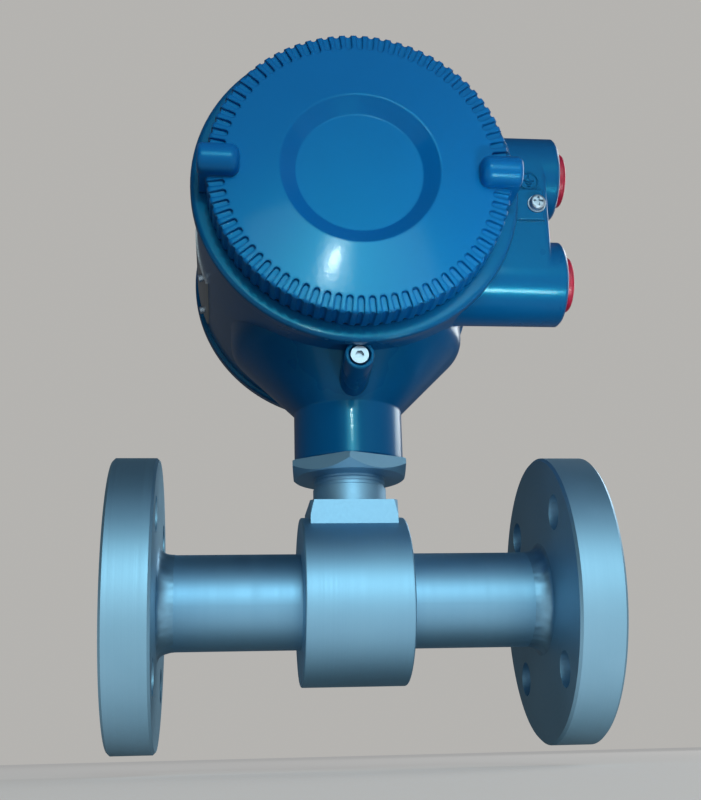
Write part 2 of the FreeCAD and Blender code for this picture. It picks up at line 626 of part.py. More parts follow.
def terminal_cover():
    """Blind screw cover: coned face, raised crown, sunk disc, fluted rim and two lugs, not
    quite level where its thread comes tight."""
    body = turned("blind_cover", (
        ("cover_ceiling", "0"), ("cover_ceiling", SLEEVE_INNER, "2")) + sleeve_and_edge() + (
        ("cover_crown", "crown_diameter / 2", "1"), ("dish_level", "dish_diameter / 2", "0.6"),
        ("dish_level", "0")), role="YZ_Plane")
    fluted_rim(body, "blind_cover")
    cover = fuse("blind_cover_lugged", body, *lugs("blind"))
    turn = Rotation(Vector(0, 1, 0), value("cover_turn"))
    keep("terminal_cover", place(cover, z="head_height", rotation=turn * HALF_TURN))


def display_cover():
    """Screw cover with a bevelled window opening and a seat for the glass behind it."""
    glass_end = "window_lip - gasket_thickness - glass_thickness - ring_thickness"
    seat = GLASS_DIAMETER + " / 2 + glass_fit"
    wall = seat + " + window_wall"
    body = turned("window_cover", (
        ("window_lip", "window_diameter / 2"), ("window_lip", seat),
        (glass_end, seat), (glass_end, wall),
        ("cover_ceiling", wall, "1"), ("cover_ceiling", SLEEVE_INNER, "1")) + sleeve_and_edge() + (
        ("cover_crown", "window_diameter / 2 + window_bevel", "1"),
        ("window_lip + 2", "window_diameter / 2")), role="YZ_Plane")
    fluted_rim(body, "window_cover")
    keep("display_cover", place(fuse("window_cover_lugged", body, *lugs("window")),
                                z="head_height"))
    for label, start, thickness, inner, outer in (
            ("window_gasket", "window_lip - gasket_thickness", "gasket_thickness",
             "window_diameter / 2", GLASS_DIAMETER + " / 2"),
            ("window_glass", "window_lip - gasket_thickness - glass_thickness", "glass_thickness",
             "0", GLASS_DIAMETER + " / 2"),
            ("window_ring", glass_end, "ring_thickness",
             "window_diameter / 2", seat)):
        keep(label, turned(label, (
            (start, inner), (start + " + " + thickness, inner), (start + " + " + thickness, outer),
            (start, outer)), role="YZ_Plane", z="head_height"))


def cover_seal(label, rotation):
    """Square-cut ring on the sleeve's root, seated in the casting's rim."""
    inner, outer = SLEEVE_OUTER + " + seal_fit", "seal_groove_diameter / 2 - seal_fit"
    start = HEAD_FACE + " - seal_groove_depth + seal_fit"
    keep(label, turned(label, ((start, inner), (COVER_SEAT, inner), (COVER_SEAT, outer),
                               (start, outer)), role="YZ_Plane", z="head_height",
                       rotation=rotation))


def socket_screw(label, rotation, side):
    """Socket-head cap screw in its counterbore under the cover."""
    level = {"z": "head_height - lock_drop"}
    head = cylinder(label + "_head", "lock_head", "lock_head_height", rotation,
                    y=side + "(lock_boss_face - lock_recess_depth + lock_head_height)", **level)
    shank = cylinder(label + "_shank", "lock_shank", "lock_length", rotation,
                     y=side + "(lock_boss_face - lock_recess_depth + lock_head_height)", **level)
    socket = prism(label + "_socket", "socket_across", "socket_depth", rotation,
                   y=side + "(lock_boss_face - lock_recess_depth + lock_head_height)", **level)
    keep(label, cut(label + "_cut", fuse(label + "_solid", head, shank), socket))


def ground_screw():
    """Cross-recess pan screw and its washer on the earthing pad."""
    seat = "-" + PAD_FACE
    at = {"x": "ground_across", "z": "head_height - ground_below"}
    washer = cylinder("washer_disc", "washer_diameter", "washer_thickness", AGAINST_Y, y=seat, **at)
    shank = cylinder("ground_shank_rod", "ground_shank", "ground_length - 0.5 + washer_thickness",
                     ALONG_Y, y=seat + " - washer_thickness", **at)
    keep("ground_washer", cut("washer_ring", washer, shank))
    top = "(washer_thickness + ground_head_height)"
    head = turned("ground_head_body", (
        ("0", "0"), ("ground_head_height", "0"),
        ("ground_head_height", "ground_head / 2", "1.2"), ("0", "ground_head / 2")),
        y=seat + " - washer_thickness", rotation=Rotation(Vector(1, 0, 0), Vector(0, -1, 0)), **at)
    bars = [box("cross_" + name, length, "cross_depth", height,
                x="ground_across - (%s) / 2" % length, y=seat + " - " + top,
                z="head_height - ground_below - (%s) / 2" % height)
            for name, length, height in (("flat", "ground_head * 0.62", "cross_width"),
                                         ("upright", "cross_width", "ground_head * 0.62"))]
    solid = fuse("ground_solid", head, shank)
    keep("ground_screw", cut("ground_cut", solid, fuse("cross_recess", *bars)))


def side_plate():
    """Thin plate rolled round the drum's left side, with a rivet in each corner."""
    inner, outer = "barrel_diameter / 2", "barrel_diameter / 2 + plate_thickness"
    ring = turned("plate_ring", (
        ("plate_offset - plate_length / 2", inner), ("plate_offset + plate_length / 2", inner),
        ("plate_offset + plate_length / 2", outer), ("plate_offset - plate_length / 2", outer)),
        role="YZ_Plane", z="head_height")
    window = box("plate_window", "barrel_diameter", "plate_length", "plate_span",
                 x="-barrel_diameter", y="plate_offset - plate_length / 2",
                 z="head_height - plate_span / 2")
    rivets = []
    for row in ("-", "+"):
        for column in ("-", "+"):
            rise = "(plate_span / 2 - rivet_inset)"
            across = "-sqrt((%s) ^ 2 - %s ^ 2)" % (outer, rise)
            rivet = cylinder("rivet_%d" % (len(rivets) + 1), "rivet_diameter", "rivet_height + 1",
                             Rotation(Vector(0, 0, 1), Vector(
                                 -math.cos(math.asin(value(rise) / value(outer))), 0,
                                 float(row + "1") * value(rise) / value(outer))),
                             x=across + " + 0.3",
                             y="plate_offset %s (plate_length / 2 - rivet_inset)" % column,
                             z="head_height %s %s" % (row, rise))
            rivets.append(rivet)
    studs = group("rivet_rods", *rivets)
    drum = cylinder("rivet_drum", "barrel_diameter", "barrel_length", ALONG_Y,
                    y="-barrel_length / 2", z="head_height")
    keep("side_plate", cut("plate_drilled", common("plate_cut", ring, window), studs))
    keep("plate_rivets", group("rivet_heads", *[cut("rivet_head_%d" % at, rivet, drum)
                                                for at, rivet in enumerate(rivets, start=1)]))


def conduit_plug(label, height):
    """Push-in thread protector: a thick rounded flange and a hollow spigot."""
    outer = "(conduit_tap / 2 - plug_play)"
    body = turned(label + "_body", (
        ("conduit_reach - plug_length", outer + " - plug_wall"),
        ("conduit_reach - plug_length", outer), ("conduit_reach", outer),
        ("conduit_reach", "plug_flange / 2"),
        ("conduit_reach + plug_flange_thickness", "plug_flange / 2", "plug_round"),
        ("conduit_reach + plug_flange_thickness", "0"),
        ("conduit_reach + plug_flange_thickness - plug_wall", "0"),
        ("conduit_reach + plug_flange_thickness - plug_wall", outer + " - plug_wall")),
        y="-conduit_setback", z=height)
    keep(label, body)


def terminals():
    """Terminal block on the partition: a base with barriers and two rows of clamp screws."""
    back, middle = "-partition_place", "head_height"
    base = box("block_base", "block_width", "block_depth", "block_height",
               x="-block_width / 2", y=back + " - block_depth", z=middle + " - block_height / 2")
    bays, heads = [], []
    first = "-(terminal_count - 1) * terminal_pitch / 2"
    for column in range(int(value("terminal_count"))):
        across = "(%s + %d * terminal_pitch)" % (first, column)
        bays.append(box("bay_%d" % (column + 1), "terminal_pitch - barrier_width",
                        "block_depth - terminal_floor", "block_height",
                        x=across + " - (terminal_pitch - barrier_width) / 2",
                        y=back + " - block_depth", z=middle + " - block_height / 2"))
        for row in ("-", "+"):
            heads.append(cylinder("terminal_head_%d" % (len(heads) + 1), "terminal_head",
                                  "terminal_head_height", AGAINST_Y, x=across,
                                  y=back + " - terminal_floor",
                                  z="%s %s terminal_row_gap / 2" % (middle, row)))
    keep("terminal_block", cut("block_cut", base, group("bays", *bays)))
    keep("terminal_screws", group("terminal_heads", *heads))


def around_posts(name, diameter, start, length):
    """One solid at each post's place, as a group."""
    rods = []
    for turn in range(int(value("post_count"))):
        angle = "(45 + %d * 360 / post_count) * 1 deg" % turn
        rods.append(cylinder("%s_%d" % (name, turn + 1), diameter, length, ALONG_Y,
                             x="post_circle / 2 * cos(%s)" % angle, y=start,
                             z="head_height + post_circle / 2 * sin(%s)" % angle))
    return group(name + "_group", *rods)


def boards_and_display():
    """Two round boards and the display stacked on posts from the partition."""
    disc = "board_diameter"
    level = REAR_WALL
    for posts, length, board in (("rear_posts", "rear_posts", "power_board"),
                                 ("middle_posts", "middle_posts", "signal_board"),
                                 ("front_posts", "front_posts", "display_board")):
        keep(posts, around_posts(posts, "post_diameter", level, length))
        level = "(%s + %s)" % (level, length)
        keep(board, cylinder(board + "_disc", disc, "board_thickness", ALONG_Y,
                             y=level, z="head_height"))
        level = "(%s + board_thickness)" % level
    panel = box("lcd_glass", "lcd_width", "lcd_thickness", "lcd_height",
                x="-lcd_width / 2", y=level, z="head_height + lcd_rise - lcd_height / 2")
    keep("lcd_panel", panel)
    plate = cylinder("bezel_disc", disc, "bezel_thickness", ALONG_Y, y=level, z="head_height")
    hollow = box("bezel_hollow", "lcd_width", "lcd_thickness", "lcd_height",
                 x="-lcd_width / 2", y=level, z="head_height + lcd_rise - lcd_height / 2")
    view = box("bezel_view", "lcd_view_width", "bezel_thickness", "lcd_view_height",
               x="-lcd_view_width / 2", y=level,
               z="head_height + lcd_rise - lcd_view_height / 2")
    keys = [cylinder("key_%d" % (column + 2), "key_diameter", "bezel_thickness", ALONG_Y,
                     x="%d * key_spacing" % column, y=level, z="head_height - key_drop")
            for column in (-1, 0, 1)]
    keep("display_bezel", cut("bezel_cut", plate, fuse("bezel_voids", hollow, view, *keys)))
    keep("display_keys", group("key_group", *keys))
    keep("display_screws", around_posts("display_screw", "screw_head",
                                        "(%s + bezel_thickness)" % level, "screw_head_height"))


def build():
    measuring_tube()
    liner()
    for label, rotation in (("inlet", HALF_TURN), ("outlet", Rotation())):
        flange(label + "_flange", rotation)
        flange_weld(label + "_weld", rotation)
    casing()
    yoke()
    magnet("upper", Rotation())
    magnet("lower", Rotation(Vector(1, 0, 0), 180))
    electrodes()
    neck_stub()
    lock_nut()
    housing()
    terminal_cover()
    cover_seal("terminal_cover_seal", HALF_TURN)
    display_cover()
    cover_seal("display_cover_seal", Rotation())
    socket_screw("front_lock_screw", ALONG_Y, "-")
    socket_screw("rear_lock_screw", AGAINST_Y, "")
    ground_screw()
    side_plate()
    conduit_plug("upper_conduit_plug", "head_height + conduit_rise")
    conduit_plug("lower_conduit_plug", "head_height - conduit_drop")
    terminals()
    boards_and_display()


def check_and_write():
    document.recompute()
    for thing in document.Objects:
        if "Invalid" in thing.State or "Error" in thing.State:
            raise RuntimeError("%s did not build: %s" % (thing.Name, thing.State))
    for label, thing in subparts.items():
        if thing.Shape.isNull() or not thing.Shape.isValid() or not thing.Shape.Solids:
            raise RuntimeError("%s has no sound solid" % label)
    os.makedirs("parts", exist_ok=True)
    for label, thing in subparts.items():
        thing.Shape.exportStep("parts/%s.step" % label)
        print("%-22s %2d solids %10.1f mm3" % (label, len(thing.Shape.Solids), thing.Shape.Volume))


build()
check_and_write()
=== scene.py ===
import json
import math
import bpy
from mathutils import Matrix, Vector


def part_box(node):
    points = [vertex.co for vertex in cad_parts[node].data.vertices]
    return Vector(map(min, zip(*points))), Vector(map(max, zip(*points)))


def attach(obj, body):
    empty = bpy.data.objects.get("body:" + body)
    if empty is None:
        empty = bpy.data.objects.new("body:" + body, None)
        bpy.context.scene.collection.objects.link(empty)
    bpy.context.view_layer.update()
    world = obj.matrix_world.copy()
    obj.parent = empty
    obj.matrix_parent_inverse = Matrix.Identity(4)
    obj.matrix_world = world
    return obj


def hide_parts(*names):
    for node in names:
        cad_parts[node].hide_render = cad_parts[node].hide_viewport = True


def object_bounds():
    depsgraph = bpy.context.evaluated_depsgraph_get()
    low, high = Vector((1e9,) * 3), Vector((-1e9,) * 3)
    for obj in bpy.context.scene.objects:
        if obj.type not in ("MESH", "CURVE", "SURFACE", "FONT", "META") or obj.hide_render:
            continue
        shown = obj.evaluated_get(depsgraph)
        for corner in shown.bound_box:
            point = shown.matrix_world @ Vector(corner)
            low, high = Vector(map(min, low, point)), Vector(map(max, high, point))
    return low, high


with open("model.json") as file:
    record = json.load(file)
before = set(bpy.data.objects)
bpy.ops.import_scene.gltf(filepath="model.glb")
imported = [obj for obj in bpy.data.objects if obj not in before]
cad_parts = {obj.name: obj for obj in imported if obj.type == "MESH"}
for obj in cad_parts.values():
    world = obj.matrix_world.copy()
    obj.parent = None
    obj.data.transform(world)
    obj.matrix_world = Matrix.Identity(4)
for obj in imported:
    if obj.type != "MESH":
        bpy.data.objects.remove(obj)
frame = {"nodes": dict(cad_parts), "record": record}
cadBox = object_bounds()


def say(stage):
    print("flow meter:", stage)


def shaderOf(material):
    return material.node_tree.nodes["Principled BSDF"]


def newMaterial(name, base, metallic, roughness):
    material = bpy.data.materials.new(name)
    material.use_nodes = True
    shader = shaderOf(material)
    shader.inputs["Base Color"].default_value = (*base, 1)
    shader.inputs["Metallic"].default_value = metallic
    shader.inputs["Roughness"].default_value = roughness
    return material


def addNode(owner, kind, **settings):
    # the owner is a material or the world; a setting is the node's own or one of its inputs
    node = owner.node_tree.nodes.new("ShaderNode" + kind)
    for name, setting in settings.items():
        if hasattr(node, name):
            setattr(node, name, setting)
        else:
            node.inputs[name].default_value = setting
    return node


def link(owner, source, output, target, socket):
    owner.node_tree.links.new(source.outputs[output], target.inputs[socket])


def objectPlace(material, scale=(1, 1, 1)):
    place = addNode(material, "TexCoord")
    mapping = addNode(material, "Mapping", Scale=scale)
    link(material, place, "Object", mapping, "Vector")
    return mapping


def noise(material, mapping, scale, detail=4.0):
    texture = addNode(material, "TexNoise", Scale=scale, Detail=detail, Roughness=0.55)
    link(material, mapping, "Vector", texture, "Vector")
    return texture


def rampTo(material, source, output, span, colours, target, socket):
    ramp = addNode(material, "ValToRGB")
    for element, position, colour in zip(ramp.color_ramp.elements, span, colours):
        element.position = position
        element.color = (*colour, 1)
    link(material, source, output, ramp, "Fac")
    link(material, ramp, "Color", target, socket)


def addRange(owner, source, output, spanTo, spanFrom=(0.0, 1.0), **settings):
    span = addNode(owner, "MapRange", **settings)
    sockets = ("From Min", "From Max", "To Min", "To Max")
    for socket, value in zip(sockets, (*spanFrom, *spanTo)):
        span.inputs[socket].default_value = value
    link(owner, source, output, span, "Value")
    return span


def glossAround(roughness, spread):
    return roughness - spread[0], roughness + spread[1]


def bumpFrom(material, source, output, strength, distance, after=None):
    bump = addNode(material, "Bump", Strength=strength, Distance=distance)
    link(material, source, output, bump, "Height")
    if after:
        link(material, after, "Normal", bump, "Normal")
    link(material, bump, "Normal", shaderOf(material), "Normal")
    return bump


# what both paints share: drift of the colour, orange peel and dust nibs
sprayed = {"driftScale": 14.0, "driftSpan": (0.3, 0.7), "glossSpread": (0.04, 0.05),
           "edgeRays": 4, "peelDetail": 2.0, "peelDepth": 0.0004,
           "nibScale": 240.0, "nibReach": 0.06, "nibBump": 0.12, "nibDepth": 0.0002}


def enamel(name, settings):
    # gloss paint over a casting: slow colour drift, orange peel and a few dust nibs
    material = newMaterial(name, settings["colour"], 0.0, settings["roughness"])
    shader = shaderOf(material)
    shader.inputs["Coat Weight"].default_value = settings["coat"]
    shader.inputs["Coat Roughness"].default_value = settings["coatRoughness"]
    shader.inputs["Specular IOR Level"].default_value = settings["shine"]
    shader.inputs["Specular Tint"].default_value = (*settings["tint"], 1)
    mapping = objectPlace(material)
    drift = noise(material, mapping, sprayed["driftScale"])
    rampTo(material, drift, "Fac", sprayed["driftSpan"],
           (settings["shade"], settings["colour"]), shader, "Base Color")
    gloss = addRange(material, drift, "Fac",
                     glossAround(settings["roughness"], sprayed["glossSpread"]))
    link(material, gloss, "Result", shader, "Roughness")
    softEdges = addNode(material, "Bevel", samples=sprayed["edgeRays"], Radius=settings["edge"])
    peel = noise(material, mapping, settings["peelScale"], sprayed["peelDetail"])
    peelBump = bumpFrom(material, peel, "Fac", settings["peel"], sprayed["peelDepth"],
                        after=softEdges)
    nibs = addNode(material, "TexVoronoi", Scale=sprayed["nibScale"])
    link(material, mapping, "Vector", nibs, "Vector")
    nibHeight = addRange(material, nibs, "Distance", (1.0, 0.0), (0.0, sprayed["nibReach"]))
    nibBump = bumpFrom(material, nibHeight, "Result", sprayed["nibBump"], sprayed["nibDepth"],
                       after=peelBump)
    link(material, nibBump, "Normal", shader, "Coat Normal")
    return material


# what the turned steels share: stains, lathe lines and a fine grit
lathed = {"stainScale": 22.0, "stainDetail": 5.0, "stainSpan": (0.32, 0.68),
          "glossSpread": (0.09, 0.11), "lineDetail": 3.0, "lineDepth": 0.0001,
          "gritScale": 2600.0, "gritDetail": 1.0, "gritDepth": 0.00005}


def turnedSteel(name, settings):
    # lathe lines: noise drawn out round the X axis, so it changes along the pipe alone
    material = newMaterial(name, settings["colour"], 1.0, settings["roughness"])
    shader = shaderOf(material)
    place = addNode(material, "TexCoord")
    split = addNode(material, "SeparateXYZ")
    link(material, place, "Object", split, "Vector")
    across = addNode(material, "VectorMath", operation="LENGTH")
    flat = addNode(material, "CombineXYZ")
    link(material, split, "Y", flat, "Y")
    link(material, split, "Z", flat, "Z")
    link(material, flat, "Vector", across, 0)
    lathe = addNode(material, "CombineXYZ")
    link(material, split, "X", lathe, "X")
    link(material, across, "Value", lathe, "Y")
    lines = addNode(material, "TexNoise", Scale=settings["lineScale"],
                    Detail=lathed["lineDetail"])
    link(material, lathe, "Vector", lines, "Vector")
    stains = addNode(material, "TexNoise", Scale=lathed["stainScale"],
                     Detail=lathed["stainDetail"])
    link(material, place, "Object", stains, "Vector")
    rampTo(material, stains, "Fac", lathed["stainSpan"],
           (settings["shade"], settings["colour"]), shader, "Base Color")
    both = addNode(material, "Math", operation="ADD")
    link(material, lines, "Fac", both, 0)
    link(material, stains, "Fac", both, 1)
    gloss = addRange(material, both, "Value",
                     glossAround(settings["roughness"], lathed["glossSpread"]), (0.0, 2.0))
    link(material, gloss, "Result", shader, "Roughness")
    lineBump = bumpFrom(material, lines, "Fac", settings["lines"], lathed["lineDepth"])
    grit = addNode(material, "TexNoise", Scale=lathed["gritScale"], Detail=lathed["gritDetail"])
    link(material, place, "Object", grit, "Vector")
    bumpFrom(material, grit, "Fac", settings["grit"], lathed["gritDepth"], after=lineBump)
    return material


# what the plain finishes share
grained = {"span": (0.35, 0.65), "glossSpread": (0.08, 0.08), "depth": 0.0003}


def grainy(name, settings):
    # plain finishes: a colour that drifts a little, uneven gloss and a fine bump
    material = newMaterial(name, settings["colour"], settings["metallic"], settings["roughness"])
    shader = shaderOf(material)
    mapping = objectPlace(material, settings.get("stretch", (1, 1, 1)))
    grain = noise(material, mapping, settings["scale"])
    rampTo(material, grain, "Fac", grained["span"],
           (settings["shade"], settings["colour"]), shader, "Base Color")
    gloss = addRange(material, grain, "Fac",
                     glossAround(settings["roughness"], grained["glossSpread"]))
    link(material, gloss, "Result", shader, "Roughness")
    bumpFrom(material, grain, "Fac", settings["bump"], grained["depth"])
    return material


# the glass in the display cover, with faint smears
clearGlass = {"colour": (0.92, 0.97, 0.96), "roughness": 0.03, "index": 1.5,
              "smearScale": 35.0, "smearDetail": 3.0, "smearGloss": (0.01, 0.06)}


def windowGlass(name, settings):
    material = newMaterial(name, settings["colour"], 0.0, settings["roughness"])
    shader = shaderOf(material)
    shader.inputs["Transmission Weight"].default_value = 1.0
    shader.inputs["IOR"].default_value = settings["index"]
    smears = noise(material, objectPlace(material), settings["smearScale"],
                   settings["smearDetail"])
    gloss = addRange(material, smears, "Fac", settings["smearGloss"])
    link(material, gloss, "Result", shader, "Roughness")
    return material


# colours are linear; shade is the darker end of the drift
# the two paints below are one enamel in two copies: the cover's copy is painted lighter and
# bluer as painted light, the housing's copy darker as painted shade
paints = {
    "coverPaintLit": {"colour": (0.001, 0.142, 0.450), "shade": (0.001, 0.130, 0.415),
                   "roughness": 0.30, "coat": 0.11, "coatRoughness": 0.08, "shine": 0.45,
                   "tint": (0.05, 0.80, 1.0), "edge": 0.0011, "peelScale": 420.0, "peel": 0.04},
    "housingPaintShaded": {"colour": (0.001, 0.096, 0.275), "shade": (0.001, 0.086, 0.250),
                     "roughness": 0.28, "coat": 0.12, "coatRoughness": 0.06, "shine": 0.38,
                     "tint": (0.05, 0.80, 1.0), "edge": 0.0012, "peelScale": 380.0,
                     "peel": 0.05},
}
steels = {
    "flangeSteel": {"colour": (0.27, 0.49, 0.65), "shade": (0.23, 0.44, 0.59),
                    "roughness": 0.52, "lineScale": 900.0, "lines": 0.35, "grit": 0.10},
    "pipeSteel": {"colour": (0.23, 0.46, 0.64), "shade": (0.19, 0.40, 0.58),
                  "roughness": 0.52, "lineScale": 500.0, "lines": 0.12, "grit": 0.12},
    "casingSteel": {"colour": (0.24, 0.47, 0.64), "shade": (0.21, 0.42, 0.59),
                    "roughness": 0.52, "lineScale": 1100.0, "lines": 0.30, "grit": 0.10},
    "stubSteel": {"colour": (0.25, 0.46, 0.63), "shade": (0.21, 0.41, 0.57),
                  "roughness": 0.54, "lineScale": 800.0, "lines": 0.15, "grit": 0.30},
}
finishes = {
    "weldSteel": {"colour": (0.22, 0.43, 0.60), "shade": (0.17, 0.34, 0.48), "metallic": 1.0,
                  "roughness": 0.50, "scale": 140.0, "bump": 0.5, "stretch": (0.5, 1, 1)},
    "linerRubber": {"colour": (0.030, 0.030, 0.034), "shade": (0.018, 0.018, 0.020),
                    "metallic": 0.0, "roughness": 0.62, "scale": 500.0, "bump": 0.12},
    "magnetIron": {"colour": (0.22, 0.22, 0.24), "shade": (0.15, 0.15, 0.16), "metallic": 0.9,
                   "roughness": 0.5, "scale": 300.0, "bump": 0.2},
    "coilCopper": {"colour": (0.62, 0.25, 0.10), "shade": (0.40, 0.14, 0.05), "metallic": 0.8,
                   "roughness": 0.35, "scale": 900.0, "bump": 0.5, "stretch": (0.1, 0.1, 1)},
    "electrodeSteel": {"colour": (0.72, 0.73, 0.74), "shade": (0.62, 0.63, 0.65),
                       "metallic": 1.0, "roughness": 0.2, "scale": 400.0, "bump": 0.05},
    "insulator": {"colour": (0.72, 0.71, 0.66), "shade": (0.64, 0.63, 0.58), "metallic": 0.0,
                  "roughness": 0.5, "scale": 500.0, "bump": 0.08},
    "potting": {"colour": (0.04, 0.04, 0.045), "shade": (0.02, 0.02, 0.024), "metallic": 0.0,
                "roughness": 0.3, "scale": 120.0, "bump": 0.15},
    "screwZinc": {"colour": (0.36, 0.44, 0.52), "shade": (0.29, 0.36, 0.43), "metallic": 1.0,
                  "roughness": 0.46, "scale": 700.0, "bump": 0.10},
    "plugRed": {"colour": (0.52, 0.004, 0.045), "shade": (0.42, 0.003, 0.034), "metallic": 0.0,
                "roughness": 0.38, "scale": 160.0, "bump": 0.08},
    "plateMetal": {"colour": (0.36, 0.40, 0.42), "shade": (0.29, 0.33, 0.35), "metallic": 1.0,
                   "roughness": 0.32, "scale": 260.0, "bump": 0.10, "stretch": (1, 0.05, 1)},
    "sealRubber": {"colour": (0.020, 0.020, 0.022), "shade": (0.012, 0.012, 0.013),
                   "metallic": 0.0, "roughness": 0.55, "scale": 600.0, "bump": 0.08},
    "terminalPlastic": {"colour": (0.035, 0.040, 0.045), "shade": (0.024, 0.028, 0.032),
                        "metallic": 0.0, "roughness": 0.45, "scale": 700.0, "bump": 0.10},
    "boardGreen": {"colour": (0.010, 0.115, 0.035), "shade": (0.006, 0.080, 0.022),
                   "metallic": 0.0, "roughness": 0.35, "scale": 300.0, "bump": 0.10},
    "bezelBlack": {"colour": (0.020, 0.020, 0.022), "shade": (0.013, 0.013, 0.015),
                   "metallic": 0.0, "roughness": 0.42, "scale": 900.0, "bump": 0.14},
    "lcdGrey": {"colour": (0.190, 0.220, 0.160), "shade": (0.165, 0.195, 0.140),
                "metallic": 0.0, "roughness": 0.18, "scale": 60.0, "bump": 0.02},
    "postBrass": {"colour": (0.68, 0.62, 0.50), "shade": (0.55, 0.50, 0.40), "metallic": 1.0,
                  "roughness": 0.3, "scale": 500.0, "bump": 0.06},
}


say("mixing the finishes")
palette = {name: enamel(name, settings) for name, settings in paints.items()}
palette.update({name: turnedSteel(name, settings) for name, settings in steels.items()})
palette.update({name: grainy(name, settings) for name, settings in finishes.items()})
palette["windowGlass"] = windowGlass("windowGlass", clearGlass)

finishOfSlot = {
    "cover_paint": "coverPaintLit", "housing_paint": "housingPaintShaded", "flange_steel": "flangeSteel",
    "pipe_steel": "pipeSteel", "casing_steel": "casingSteel", "nut_steel": "stubSteel",
    "weld_steel": "weldSteel", "liner_rubber": "linerRubber", "magnet_iron": "magnetIron",
    "coil_copper": "coilCopper", "electrode_steel": "electrodeSteel", "insulator": "insulator",
    "potting": "potting", "screw_zinc": "screwZinc", "plug_red": "plugRed",
    "plate_metal": "plateMetal", "seal_rubber": "sealRubber", "window_clear": "windowGlass",
    "terminal_plastic": "terminalPlastic", "board_green": "boardGreen",
    "bezel_black": "bezelBlack", "lcd_grey": "lcdGrey", "post_brass": "postBrass",
}

slotOfNode = {part["node"]: part["material_slot"] for part in frame["record"]["subparts"]}
for nodeName, node in frame["nodes"].items():
    for slot in node.material_slots:
        slot.material = palette[finishOfSlot[slotOfNode[nodeName]]]


smoothBelow = 35    # degrees between faces
nearEnough = 0.00002    # how far from its place a point may be when it is picked


def finishPiece(piece, name, finish, body):
    # name it, put its place in its mesh, give it its finish and let it ride
    bpy.ops.object.select_all(action="DESELECT")
    piece.select_set(True)
    bpy.context.view_layer.objects.active = piece
    bpy.ops.object.transform_apply(location=True, rotation=True, scale=True)
    bpy.ops.object.mode_set(mode="EDIT")
    bpy.ops.mesh.select_all(action="SELECT")
    bpy.ops.mesh.normals_make_consistent(inside=False)
    bpy.ops.object.mode_set(mode="OBJECT")
    bpy.ops.object.shade_smooth_by_angle(angle=math.radians(smoothBelow))
    piece.name = name
    piece.data.materials.clear()
    piece.data.materials.append(palette[finish])
    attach(piece, body)


def applyModifier(piece, kind, **settings):
    modifier = piece.modifiers.new(kind.lower(), kind)
    for name, setting in settings.items():
        setattr(modifier, name, setting)
    bpy.context.view_layer.objects.active = piece
    bpy.ops.object.modifier_apply(modifier=modifier.name)


def pickFaces(piece, test):
    # leaves edit mode on, with the faces that pass the test picked
    bpy.ops.object.mode_set(mode="EDIT")
    bpy.ops.mesh.select_mode(type="FACE")
    bpy.ops.mesh.select_all(action="DESELECT")
    bpy.ops.object.mode_set(mode="OBJECT")
    for face in piece.data.polygons:
        face.select = test(face)
    bpy.ops.object.mode_set(mode="EDIT")


# bosses that carry the cover lock screws, drawn down into the neck
lockBoss = {"radius": 0.00575, "face": 0.050, "root": 0.019, "drop": 0.0032, "grow": 1.09,
            "wall": 0.00150, "recess": 0.0044, "rim": 0.0007, "rimSteps": 3, "rimAngle": 50,
            "sides": 64}


def addLockBoss(settings, screw, side, name):
    low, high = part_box(screw)
    level = (low.z + high.z) / 2
    length = settings["face"] - settings["root"]
    bpy.ops.object.select_all(action="DESELECT")
    bpy.ops.mesh.primitive_cylinder_add(
        vertices=settings["sides"], radius=settings["radius"], depth=length,
        location=(0, side * (settings["face"] - length / 2), level),
        rotation=(-side * math.pi / 2, 0, 0))
    boss = bpy.context.object
    bpy.ops.object.transform_apply(location=True, rotation=True, scale=True)
    pickFaces(boss, lambda face: math.isclose(abs(face.center.y), settings["root"],
                                              abs_tol=nearEnough))
    bpy.ops.transform.translate(value=(0, 0, -settings["drop"]))
    bpy.ops.transform.resize(value=(settings["grow"], 1, settings["grow"]))
    bpy.ops.object.mode_set(mode="OBJECT")
    pickFaces(boss, lambda face: math.isclose(abs(face.center.y), settings["face"],
                                              abs_tol=nearEnough))
    bpy.ops.mesh.inset(thickness=settings["wall"])
    bpy.ops.mesh.extrude_region_move(
        TRANSFORM_OT_translate={"value": (0, -side * settings["recess"], 0)})
    bpy.ops.object.mode_set(mode="OBJECT")
    applyModifier(boss, "BEVEL", width=settings["rim"], segments=settings["rimSteps"],
                  limit_method="ANGLE", angle_limit=math.radians(settings["rimAngle"]))
    finishPiece(boss, name, "housingPaintShaded", "head")


# earth mark cast on the web above its screw: a ring with a stem and three bars
# each stroke: across, up, width, height, where None is the line's own width
earthMark = {"across": 0.0720, "level": 0.1644, "radius": 0.0041, "sides": 64,
             "line": 0.00070, "proud": 0.0005, "sunk": 0.0002, "face": -0.0475,
             "rim": 0.000196, "rimSteps": 2, "rimAngle": 40,
             "strokes": ((0.0, 0.0015, None, 0.0024), (0.0, 0.0003, 0.0042, None),
                         (0.0, -0.0009, 0.0028, None), (0.0, -0.0021, 0.0014, None))}


